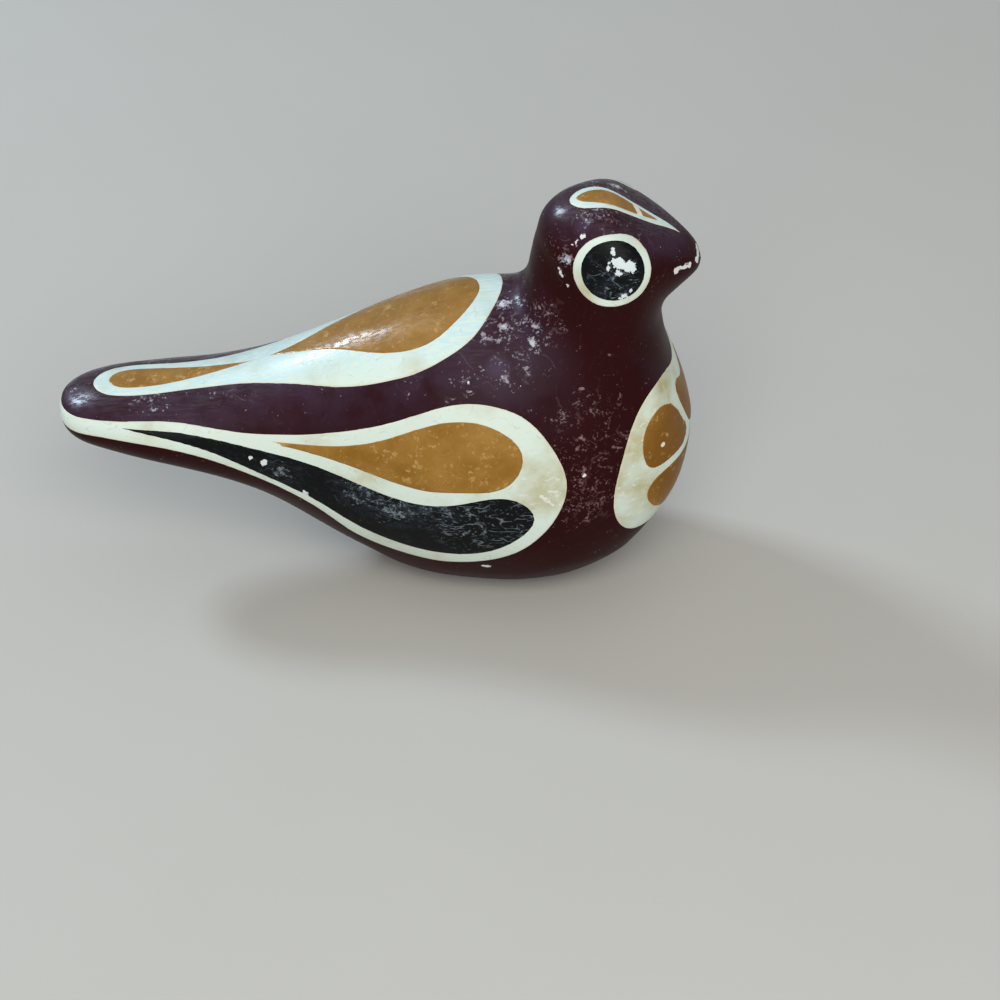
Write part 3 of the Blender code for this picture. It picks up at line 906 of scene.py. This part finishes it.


# %% [markdown]
# ## The maroon finish
# The ground is a deep red-brown slip. A painted sheen makes it bluer where it faces up.
# Specks and short scratches gather on the neck, on the shoulder, behind the eye and
# between wing and breast, and a few chips at the beak go down to the white priming. Each
# mark below is a radius with one place, or with the two ends of a stroke.

# %% Where the maroon is worn, and where sheen and highlights are painted on it
SCUFFED = (
    (8, (31, -9, 73)), (8, (38, -13, 74)), (6, (34, -17, 67)), (4, (22, -20, 64)),
    (9, (50, -22, 53)), (11, (49, -25, 38)), (5, (44, -11, 92)), (6, (52, -6, 100)),
    (5, (-52, -8, 49)), (3, (-33, -10, 51)),
)  # fmt: skip
# Spots of painted sheen: a bluish reflection on the head side, the shoulder and the tail tip.
PAINTED_SHEEN_SPOTS = ((2.0, (48.6, -8.6, 98.2)), (3.0, (29.0, -18.0, 66.0)), (3.0, (-71.0, -2.0, 47.0)))
# Rubbed marks: real scuffs that also stand for painted highlights, so specks crowd there and turn white.
RUBBED_AND_HIGHLIT = (
    (1.7, (30.8, -4.7, 75.2)), (1.1, (30.4, -10.8, 72.7)), (1.2, (38.3, -13.4, 73.4)),
    (1.2, (37.0, -14.5, 71.0)), (1.5, (44.5, -11.8, 91.5)), (0.8, (25.9, -12.9, 71.1)),
    (1.2, (48.0, 8.5, 99.7)), (1.5, (56.0, 5.8, 100.0)), (1.3, (-71.5, -1.0, 47.2)),
    (0.9, (42.6, -1.5, 98.9)),
)  # fmt: skip
MAROON_CHIPS = (
    (0.85, (74.6, -0.3, 87.7), (74.6, -3.6, 86.0)), (0.65, (69.4, -9.4, 87.1), (72.6, -6.0, 86.5)),
    (0.4, (46.0, -11.1, 95.2), (48.4, -10.8, 97.1)), (0.3, (42.9, -11.2, 88.9), (43.6, -12.0, 87.3)),
    (0.4, (45.0, -13.1, 85.3)), (0.4, (58.6, -7.3, 98.2)),
    (0.5, (25.8, -25.6, 14.0), (27.3, -25.7, 13.8)), (0.5, (49.0, -25.7, 41.2)),
    (0.45, (34.4, -20.7, 62.9)), (0.4, (22.3, -20.6, 63.6)),
)  # fmt: skip
print("marks on the maroon:", len(SCUFFED) + len(PAINTED_SHEEN_SPOTS) + len(RUBBED_AND_HIGHLIT) + len(MAROON_CHIPS))

# %% Maroon
MAROON_DARK = seen(37, 6, 6)
MAROON_LIGHT = seen(51, 13, 15)
# The bluish colour of the painted sheen.
PAINTED_SHEEN_COLOUR = seen(82, 67, 90)
SCUFF_PINK = seen(158, 126, 124)
# The white of scuffs under the painted sheen and at the rubbed marks, partly a painted highlight.
SCUFF_WHITE_HIGHLIT = seen(214, 218, 230)
PRIMING = seen(234, 234, 232)


def maroon_finish():
    """Deep red-brown slip with a painted bluish sheen on top, with scuffs, scratches and chips."""
    material, place = begin("maroon_slip_finish")
    colour = mixed(cloud(place, 14, 3), MAROON_DARK, MAROON_LIGHT)
    # Painted sheen: this film is a painted bluish reflection, stronger where the surface faces up and at
    # the sheen spots.
    film = band(upward(place), 0.2, 0.75) * band(cloud(place, 9, 3, 0.6, seed=2), 0.1, 0.7)
    colour = mixed(both(film * 0.42, zone(place, PAINTED_SHEEN_SPOTS, 5) * 0.75), colour, PAINTED_SHEEN_COLOUR)
    scuffed = zone(folded(place), SCUFFED, 8)
    # The rubbed marks are partly wear and partly painted highlight.
    rubbed = zone(place, RUBBED_AND_HIGHLIT, 2)
    uneven = (cloud(place, 3.2, 2, 0.5, seed=4) - 0.5) * 0.4
    crowd = scuffed * 0.09 + rubbed * 0.16 + uneven
    worn = both(specks(place, 0.7, crowd + 0.02, seed=5) * 0.7, specks(place, 1.6, crowd, seed=7))
    wear = worn * cloud(place, 1.3, 2, 0.6, seed=11) * (1.1 + rubbed * 0.7)
    wear = both(wear, hairs(place, 4.5, 0.03, seed=6) * (scuffed * 0.1 + 0.02))
    # Scuffs turn from pink to white where the painted sheen and the rubbed marks lie: partly a painted
    # highlight.
    colour = mixed(wear, colour, mixed(both(film, rubbed), SCUFF_PINK, SCUFF_WHITE_HIGHLIT))
    chip = chips(place, MAROON_CHIPS, ragged=2.4)
    colour = mixed(chip, colour, PRIMING)
    roughness = 0.42 + wear * 0.3 + chip * 0.3
    relief = brushed(place) * 0.12 - wear * 0.6 - chip
    coat = varnish(place, most=0.85)
    return end(material, colour, roughness, relief, depth=0.06, coat=coat, specular=0.08)


keep("maroon_slip", maroon_finish())

# %% [markdown]
# ## The cream finish
# The pale slip is thin and has been scraped in small flats, so it looks like shell: bluish white that
# turns yellow in soft patches. A painted cyan highlight tints its top where the coat lies. The front of
# the wing and the breast are painted yellower as warm shade, and a few white scrapes cross it there.

# %% Cream
# Painted shade: the front of the wing, the breast and the lower eye ring are painted yellower, as warm
# shade looks.
PAINTED_YELLOW_SHADE = ((10, (42, -26, 38)), (12, (60, -21, 38)), (8, (64, -17, 56)), (3, (48, -15, 86)))
SCRAPES = (
    (0.35, (39.0, -28.9, 37.6), (41.9, -28.4, 34.6)), (0.3, (42.6, -28.1, 36.4), (43.4, -27.8, 34.2)),
    (0.3, (40.4, -28.7, 38.6), (43.2, -27.8, 38.0)), (0.3, (64.6, -19.5, 30.2), (62.0, -21.2, 27.0)),
)  # fmt: skip
CREAM_COOL = seen(225, 240, 228)
# The yellow of the cream's soft patches, also the colour of its painted shade.
CREAM_YELLOW_AND_SHADE = seen(190, 182, 134)
CREAM_MOTTLE = seen(228, 236, 224)
# The cyan of the painted highlight on the cream's top.
CREAM_PAINTED_HIGHLIGHT = seen(192, 230, 242)
CREAM_SCRAPED = seen(236, 238, 230)
CREAM_HAIR = seen(180, 184, 166)
CREAM_RIM = seen(230, 214, 178)
CREAM_DIRT = seen(150, 142, 120)


def cream_finish():
    """Pale shell-like slip that has yellowed in patches, with a painted highlight on top and painted
    shade at the front.
    """
    material, place = begin("cream_slip_finish")
    # Painted shade: the zones at the front are pulled towards yellow.
    yellow_shade = zone(folded(place), PAINTED_YELLOW_SHADE, 16)
    yellow = band(cloud(place, 11, 3, 0.5, seed=1) + yellow_shade * 0.26, 0.46, 0.94)
    colour = mixed(yellow, CREAM_COOL, CREAM_YELLOW_AND_SHADE)
    mottled = band(cloud(place, 2.4, 4, 0.6, seed=6), 0.42, 0.66)
    colour = mixed(mottled * 0.3, colour, CREAM_MOTTLE)
    # The coat's mask also paints a cyan highlight into the colour on top.
    coat_and_highlight = varnish(place, most=0.75)
    colour = mixed(coat_and_highlight * 0.7, colour, CREAM_PAINTED_HIGHLIGHT)
    scrape = cloud(stretched(place, 0.5, 1, 1), 1.5, 3, 0.65, seed=8) + yellow_shade * 0.07
    scrape = both(band(scrape, 0.66, 0.72) * 0.6, chips(place, SCRAPES, ragged=2.2) * 0.9)
    colour = mixed(scrape, colour, CREAM_SCRAPED)
    hair = hairs(stretched(place, 0.6, 1, 1), 2.6, 0.025, seed=14)
    colour = mixed(hair * 0.35, colour, CREAM_HAIR)
    thin = 1 - band(rim_distance(place), 0.1, 0.5)
    colour = mixed(thin * 0.5, colour, CREAM_RIM)
    dirt = specks(place, 1.1, (cloud(place, 5, 2, 0.5, seed=6) - 0.5) * 0.3, seed=10)
    colour = mixed(dirt * 0.3, colour, CREAM_DIRT)
    roughness = 0.45 + yellow * 0.1
    relief = brushed(place) * 0.5
    return end(material, colour, roughness, relief, depth=0.05, coat=coat_and_highlight, specular=0.2)


keep("cream_slip", cream_finish())

# %% [markdown]
# ## The ochre finish
# The ochre drops are an earth colour, painted darker on the breast as shade, with a pale thin line at
# their rims and with pale flecks where they were rubbed.

# %% Ochre
# The breast, where the ochre is painted darker as shade.
PAINTED_SHADE_BREAST = ((14, (70, -12, 42)),)
OCHRE_CHIPS = ((0.8, (67.3, -18.7, 44.9)), (0.8, (59.8, 1.2, 98.5), (61.2, -2.4, 97.5)))
OCHRE_DARK = seen(141, 98, 31)
OCHRE_LIGHT = seen(170, 127, 63)
# The darker ochre of the painted shade on the breast.
OCHRE_PAINTED_SHADE = seen(120, 77, 10)
OCHRE_FLECK = seen(210, 172, 114)
OCHRE_RIM = seen(224, 182, 118)
OCHRE_CHIPPED = seen(238, 232, 214)


def ochre_finish():
    """Earth-coloured slip with pale flecks and a pale rim."""
    material, place = begin("ochre_slip_finish")
    colour = mixed(band(cloud(place, 6, 4, 0.6), 0.15, 0.85), OCHRE_DARK, OCHRE_LIGHT)
    # Painted shade: the ochre turns darker on the breast.
    colour = mixed(zone(folded(place), PAINTED_SHADE_BREAST, 10) * 0.8, colour, OCHRE_PAINTED_SHADE)
    crowd = (cloud(place, 4.5, 2, 0.5, seed=4) - 0.5) * 0.35 + 0.09
    flecks = both(specks(place, 1.0, crowd, seed=9) * 0.7, specks(place, 2.0, crowd, seed=2))
    flecks = flecks * cloud(place, 1.4, 2, 0.6, seed=11) * 1.2
    rubbed = both(flecks, hairs(place, 3.6, 0.02, seed=7) * 0.25)
    colour = mixed(rubbed * 0.8, colour, OCHRE_FLECK)
    thin = 1 - band(rim_distance(place), 0.08, 0.4)
    colour = mixed(thin * 0.7, colour, OCHRE_RIM)
    chip = chips(place, OCHRE_CHIPS, ragged=0.5)
    colour = mixed(chip, colour, OCHRE_CHIPPED)
    roughness = 0.4 + rubbed * 0.2
    relief = brushed(place) * 0.4 - rubbed * 0.4 - chip
    coat = varnish(place, most=1.0)
    return end(material, colour, roughness, relief, depth=0.05, coat=coat, specular=0.12)


keep("ochre_slip", ochre_finish())

# %% [markdown]
# ## The black finish
# The black drops and pupils show every mark: grey dust in streaks along the wing, a net
# of hairlines near its front, and chips down to the white priming, the largest in the eye.

# %% Where the black is worn
DUSTY = (
    (6, (-3, -24, 35)), (7, (5, -26, 34)), (5, (14, -28, 33)), (3, (-22, -19, 37)),
    (3, (55, -15.5, 87)),
)  # fmt: skip
SCRATCHED = ((9, (24, -30, 29)), (8, (34, -30, 30)), (5, (56, -15.5, 88)))
BLACK_CHIPS = (
    (0.6, (-28.6, -17.5, 40.2)), (0.85, (-25.6, -18.0, 39.1)), (1.1, (-16.3, -19.1, 30.8)),
    (0.55, (54.9, -14.1, 95.5), (55.1, -14.9, 93.6)), (0.45, (54.0, -15.3, 92.9), (54.0, -15.6, 91.4)),
    (1.35, (56.2, -15.2, 93.0), (58.8, -15.4, 92.1)), (0.8, (56.1, -16.0, 90.8)),
    (0.65, (56.7, -16.2, 84.5), (58.2, -16.1, 85.3)), (0.5, (58.8, -16.1, 86.2)),
)  # fmt: skip
print("marks on the black:", len(DUSTY) + len(SCRATCHED) + len(BLACK_CHIPS))

# %% Black
BLACK_DEEP = seen(9, 10, 11)
BLACK_GREY = seen(19, 21, 22)
DUST_FILM = seen(58, 68, 78)
DUST_GREY = seen(146, 160, 170)
BLACK_CHIPPED = seen(226, 236, 238)


def black_finish():
    """Black slip under dust, hairlines and chips."""
    material, place = begin("black_slip_finish")
    colour = mixed(cloud(place, 7, 3), BLACK_DEEP, BLACK_GREY)
    dusty = zone(folded(place), DUSTY, 8)
    scratched = zone(folded(place), SCRATCHED, 8)
    along = stretched(place, 0.5, 1, 1)
    film = dusty * band(cloud(along, 1.8, 3, 0.6, seed=2), 0.4, 0.7)
    colour = mixed(film * 0.6, colour, DUST_FILM)
    uneven = (cloud(along, 2.6, 2, 0.5, seed=4) - 0.5) * 0.45
    crowd = dusty * 0.17 + scratched * 0.07 + uneven - 0.03
    dust = both(specks(along, 0.6, crowd, seed=5) * 0.8, specks(place, 1.2, crowd - 0.03, seed=6))
    dust = dust * cloud(place, 1.0, 2, 0.6, seed=11) * 1.2
    long_hairs = hairs(stretched(place, 0.35, 1, 1), 2.0, 0.03, seed=6)
    net = both(long_hairs, hairs(place, 4.0, 0.02, seed=8))
    net = both(net, hairs(along, 1.1, 0.04, seed=13) * 0.7)
    wear = both(dust, net * (scratched * 0.5 + dusty * 0.16 + 0.04))
    colour = mixed(wear, colour, DUST_GREY)
    chip = chips(place, BLACK_CHIPS, ragged=2.6)
    colour = mixed(chip, colour, BLACK_CHIPPED)
    roughness = 0.4 + wear * 0.35
    relief = brushed(place) * 0.2 - wear * 0.5 - chip
    coat = varnish(place, most=0.5)
    return end(material, colour, roughness, relief, depth=0.05, coat=coat, specular=0.1)


keep("black_slip", black_finish())

# %% [markdown]
# ## The bare clay
# The clay shows only at the foot and in the vent. It is matt, with darker and lighter
# patches and fine pale grog. The slip that joins its two halves is a little darker.

# %% Terracotta
CLAY_DARK = seen(150, 84, 58)
CLAY_LIGHT = seen(178, 108, 78)
JOINT_DARK = seen(140, 78, 54)
JOINT_LIGHT = seen(164, 98, 70)
GROG = seen(206, 168, 136)


def terracotta_finish(name, dark, light):
    """Matt fired clay with fine pale grog."""
    material, place = begin(name)
    colour = mixed(cloud(place, 5, 4, 0.6), dark, light)
    grog = band(cloud(place, 0.6, 2, 0.5, seed=3), 0.6, 0.7)
    colour = mixed(grog * 0.4, colour, GROG)
    roughness = 0.8 + grog * 0.1
    relief = cloud(place, 0.5, 3, 0.6, seed=2)
    return end(material, colour, roughness, relief, depth=0.12, coat=0.0, specular=0.2)


keep("terracotta", terracotta_finish("terracotta_finish", CLAY_DARK, CLAY_LIGHT))
keep("luting_slip", terracotta_finish("luting_finish", JOINT_DARK, JOINT_LIGHT))

# %% [markdown]
# ## Dressing the pieces
# The skin and the painted patches take the finish of their slip. The two clay halves and
# the joint between them stay as the CAD model made them, and only their material changes.

# %% Give every piece its finish
maroon_skin.data.materials.append(FINISHES["maroon_slip"])
for piece, slip in painted:
    piece.data.materials.append(FINISHES[slip])
for name, slip in (
    ("clay_half_right", "terracotta"),
    ("clay_half_left", "terracotta"),
    ("luting_seam", "luting_slip"),
):
    nodes[name].data.materials.clear()
    nodes[name].data.materials.append(FINISHES[slip])
print("finishes:", ", ".join(sorted(FINISHES)))

# %% [markdown]
# ## Floor, light and camera
# The bird stands on a plain pale floor. A broad soft light hangs before it, a small cool
# one behind its tail draws the highlights along the back, as a window would, and a weak
# one hangs overhead. The camera looks down at 38 degrees with a long lens. Lengths here
# are metres.

# %% Floor
FLOOR_SIZE = 6.0
FLOOR_DARK = seen(198, 195, 188)
FLOOR_LIGHT = seen(202, 199, 193)


def floor():
    """A plain pale floor, which isn't part of the bird."""
    mesh = bmesh.new()
    bmesh.ops.create_grid(mesh, x_segments=1, y_segments=1, size=FLOOR_SIZE / 2)
    data = bpy.data.meshes.new("floor")
    mesh.to_mesh(data)
    mesh.free()
    ground = bpy.data.objects.new("floor", data)
    bpy.context.scene.collection.objects.link(ground)
    material, place = begin("floor_finish")
    shade = cloud(place, 60, 3)
    colour = mixed(shade, FLOOR_DARK, FLOOR_LIGHT)
    roughness = 0.75 + shade * 0.05
    relief = cloud(place, 1.5)
    end(material, colour, roughness, relief, depth=0.02, coat=0.0, specular=0.2)
    data.materials.append(material)


floor()
print("floor:", FLOOR_SIZE, "m wide")

# %% Lights
MIDDLE = (0.0, 0.0, 0.06)
SKY_COLOUR = (0.86, 0.90, 0.94, 1)
SKY_STRENGTH = 0.3


def softbox(name, place, width, height, power, colour):
    """A rectangular lamp turned towards the middle of the bird."""
    lamp = bpy.data.lights.new(name, "AREA")
    lamp.shape = "RECTANGLE"
    lamp.size = width
    lamp.size_y = height
    lamp.energy = power
    lamp.color = colour
    holder = bpy.data.objects.new(name, lamp)
    holder.location = place
    holder.rotation_euler = (Vector(MIDDLE) - Vector(place)).to_track_quat("-Z", "Y").to_euler()
    bpy.context.scene.collection.objects.link(holder)
    print("lamp:", name, power, "W")


softbox("window", (-0.68, 0.46, 0.70), width=0.22, height=0.17, power=5.0, colour=(0.68, 0.85, 1.0))
softbox("room", (0.10, -0.85, 0.80), width=1.0, height=0.8, power=9.5, colour=(1.0, 0.985, 0.95))
softbox("ceiling", (0.0, 0.0, 1.1), width=1.2, height=1.0, power=0.6, colour=(0.96, 0.98, 1.0))
world = bpy.data.worlds.new("room")
world.use_nodes = True
sky = world.node_tree.nodes["Background"]
sky.inputs["Color"].default_value = SKY_COLOUR
sky.inputs["Strength"].default_value = SKY_STRENGTH
bpy.context.scene.world = world

# %% Camera
ELEVATION = 38.0
LENS_MM = 112.9
SENSOR_MM = 36.0
NEAREST_SEEN = 0.01
EYE_PLACE = (0.0296, -0.6014, 0.4836)
camera = bpy.data.cameras.new("camera")
camera.lens = LENS_MM
camera.sensor_width = SENSOR_MM
camera.clip_start = NEAREST_SEEN
eye = bpy.data.objects.new("camera", camera)
eye.location = EYE_PLACE
eye.rotation_euler = (math.radians(90 - ELEVATION), 0, 0)
bpy.context.scene.collection.objects.link(eye)
bpy.context.scene.camera = eye
bpy.context.scene.view_settings.view_transform = "Standard"
print("camera:", LENS_MM, "mm lens,", ELEVATION, "degrees above level")
